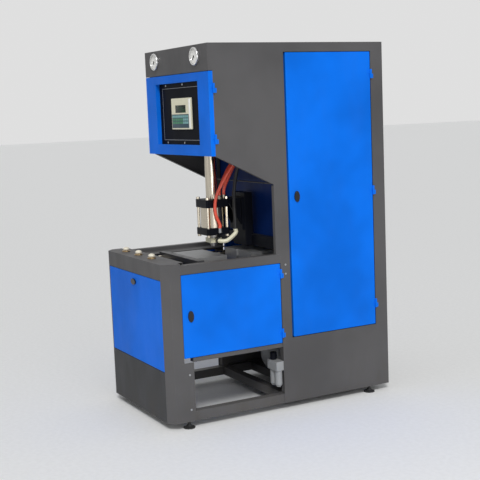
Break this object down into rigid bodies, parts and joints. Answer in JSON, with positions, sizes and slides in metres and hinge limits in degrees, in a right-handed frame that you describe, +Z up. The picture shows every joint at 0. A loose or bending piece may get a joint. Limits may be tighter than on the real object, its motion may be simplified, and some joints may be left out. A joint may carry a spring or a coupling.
{
  "type": "blow moulding machine",
  "caption": "Semi-automatic stretch blow moulding machine: blow head over a split bottle mould with a sliding clamp, blue cabinet doors and a grey frame",
  "frame": {"origin": "on the floor under the middle of the machine's width and length", "axes": "+Z up, -Y toward the operator at the front, +X the machine's right side as its front is seen"},
  "size_m": [0.8234, 1.4073, 2],
  "materials": {
    "grey": "satin grey powder coat with light handling dirt",
    "blue": "satin blue powder coat",
    "black": "satin black enamel",
    "cream": "cream moulded plastic",
    "chrome": "hard chrome, polished",
    "steel": "ground steel",
    "aluminium": "machined aluminium",
    "tank": "light grey enamel",
    "red_hose": "red plastic air hose",
    "rubber": "black rubber hose"
  },
  "bodies": {
    "frame": {"base_frame": "grey", "side_frame_left": "grey", "side_frame_right": "grey", "clamp_bed": "grey", "corner_post_left": "grey", "corner_post_right": "grey", "front_skirt": "grey", "front_rail": "grey", "side_plate_left": "grey", "side_plate_right": "grey", "head_cover": "grey", "head_floor": "grey", "head_beam": "grey", "rear_panel": "grey", "throat_wall": "blue", "display_panel": "black", "seal_flange_low": "black", "seal_flange_top": "black", "blow_column": "black", "blow_bracket": "black", "display_unit": "cream", "gauge_left": "chrome", "gauge_right": "chrome", "seal_cylinder": "chrome", "stretch_cylinder": "chrome", "front_platen": "steel", "rear_platen": "steel", "mould_front": "aluminium", "clamp_cylinder": "aluminium", "valve_manifold": "aluminium", "air_tank": "tank", "filter_regulator": "tank", "red_hose_left": "red_hose", "red_hose_right": "red_hose", "red_hose_front": "red_hose", "blow_hose": "rubber"},
    "head_door": {"head_door": "blue"},
    "front_panel": {"front_panel": "blue"},
    "side_door_left": {"side_door_left": "blue"},
    "side_door_right": {"side_door_right": "blue"},
    "cabinet_door_left": {"cabinet_door_left": "blue"},
    "cabinet_door_right": {"cabinet_door_right": "blue"},
    "front_lock": {"front_lock": "black"},
    "side_lock_left": {"side_lock_left": "black"},
    "side_lock_right": {"side_lock_right": "black"},
    "cabinet_lock_left": {"cabinet_lock_left": "black"},
    "cabinet_lock_right": {"cabinet_lock_right": "black"},
    "button_left": {"button_left": "cream"},
    "button_middle": {"button_middle": "cream"},
    "button_right": {"button_right": "cream"},
    "needle_left": {"gauge_needle_left": "black"},
    "needle_right": {"gauge_needle_right": "black"},
    "clamp": {"moving_platen": "steel", "mould_rear": "aluminium", "clamp_piston_rod": "chrome"},
    "nozzle": {"nozzle": "steel", "nozzle_fittings": "cream"},
    "stretch_rod": {"stretch_rod": "chrome"},
    "regulator_knob": {"regulator_knob": "black"}
  },
  "joints": [
    {"name": "head_door_hinge", "type": "hinge", "parent": "frame", "child": "head_door", "pos_m": [0.406, -0.3685, 1.42], "axis": [0, 0, 1], "range_deg": [0, 110]},
    {"name": "front_panel_hinge", "type": "hinge", "parent": "frame", "child": "front_panel", "pos_m": [0, -0.694, 0.32], "axis": [1, 0, 0], "range_deg": [0, 90]},
    {"name": "side_door_right_hinge", "type": "hinge", "parent": "frame", "child": "side_door_right", "pos_m": [0.406, -0.0065, 0.41], "axis": [0, 0, 1], "range_deg": [0, 95]},
    {"name": "cabinet_door_right_hinge", "type": "hinge", "parent": "frame", "child": "cabinet_door_right", "pos_m": [0.406, 0.6185, 0.5], "axis": [0, 0, 1], "range_deg": [0, 110]},
    {"name": "side_door_left_hinge", "type": "hinge", "parent": "frame", "child": "side_door_left", "pos_m": [-0.406, -0.0065, 0.41], "axis": [0, 0, -1], "range_deg": [0, 95]},
    {"name": "cabinet_door_left_hinge", "type": "hinge", "parent": "frame", "child": "cabinet_door_left", "pos_m": [-0.406, 0.6185, 0.5], "axis": [0, 0, -1], "range_deg": [0, 110]},
    {"name": "front_lock_turn", "type": "hinge", "parent": "front_panel", "child": "front_lock", "pos_m": [0, -0.7, 0.749], "axis": [0, -1, 0], "range_deg": [0, 90]},
    {"name": "side_lock_right_turn", "type": "hinge", "parent": "side_door_right", "child": "side_lock_right", "pos_m": [0.4, -0.556, 0.5995], "axis": [1, 0, 0], "range_deg": [0, 90]},
    {"name": "cabinet_lock_right_turn", "type": "hinge", "parent": "cabinet_door_right", "child": "cabinet_lock_right", "pos_m": [0.4, 0.112, 1.175], "axis": [1, 0, 0], "range_deg": [0, 90]},
    {"name": "side_lock_left_turn", "type": "hinge", "parent": "side_door_left", "child": "side_lock_left", "pos_m": [-0.4, -0.556, 0.5995], "axis": [-1, 0, 0], "range_deg": [0, 90]},
    {"name": "cabinet_lock_left_turn", "type": "hinge", "parent": "cabinet_door_left", "child": "cabinet_lock_left", "pos_m": [-0.4, 0.112, 1.175], "axis": [-1, 0, 0], "range_deg": [0, 90]},
    {"name": "button_left_press", "type": "slide", "parent": "frame", "child": "button_left", "axis": [0, 0, -1], "range_m": [0, 0.005], "stiffness_N_per_m": 900, "springref_m": -0.002},
    {"name": "button_middle_press", "type": "slide", "parent": "frame", "child": "button_middle", "axis": [0, 0, -1], "range_m": [0, 0.005], "stiffness_N_per_m": 900, "springref_m": -0.002},
    {"name": "button_right_press", "type": "slide", "parent": "frame", "child": "button_right", "axis": [0, 0, -1], "range_m": [0, 0.005], "stiffness_N_per_m": 900, "springref_m": -0.002},
    {"name": "needle_left_sweep", "type": "hinge", "parent": "frame", "child": "needle_left", "pos_m": [-0.258, -0.404, 1.94], "axis": [0, 1, 0], "range_deg": [0, 270], "stiffness_Nm_per_rad": 0.001, "springref_deg": -17.19},
    {"name": "needle_right_sweep", "type": "hinge", "parent": "frame", "child": "needle_right", "pos_m": [0.258, -0.404, 1.94], "axis": [0, 1, 0], "range_deg": [0, 270], "stiffness_Nm_per_rad": 0.001, "springref_deg": -17.19},
    {"name": "clamp_slide", "type": "slide", "parent": "frame", "child": "clamp", "axis": [0, -1, 0], "range_m": [0, 0.15]},
    {"name": "nozzle_slide", "type": "slide", "parent": "frame", "child": "nozzle", "axis": [0, 0, -1], "range_m": [0, 0.0357], "deforming": ["blow_hose"]},
    {"name": "stretch_slide", "type": "slide", "parent": "frame", "child": "stretch_rod", "axis": [0, 0, -1], "range_m": [0, 0.27]},
    {"name": "regulator_turn", "type": "hinge", "parent": "frame", "child": "regulator_knob", "pos_m": [0.3217, -0.0253, 0.2753], "axis": [0, 0, 1], "range_deg": [0, 720]}
  ]
}
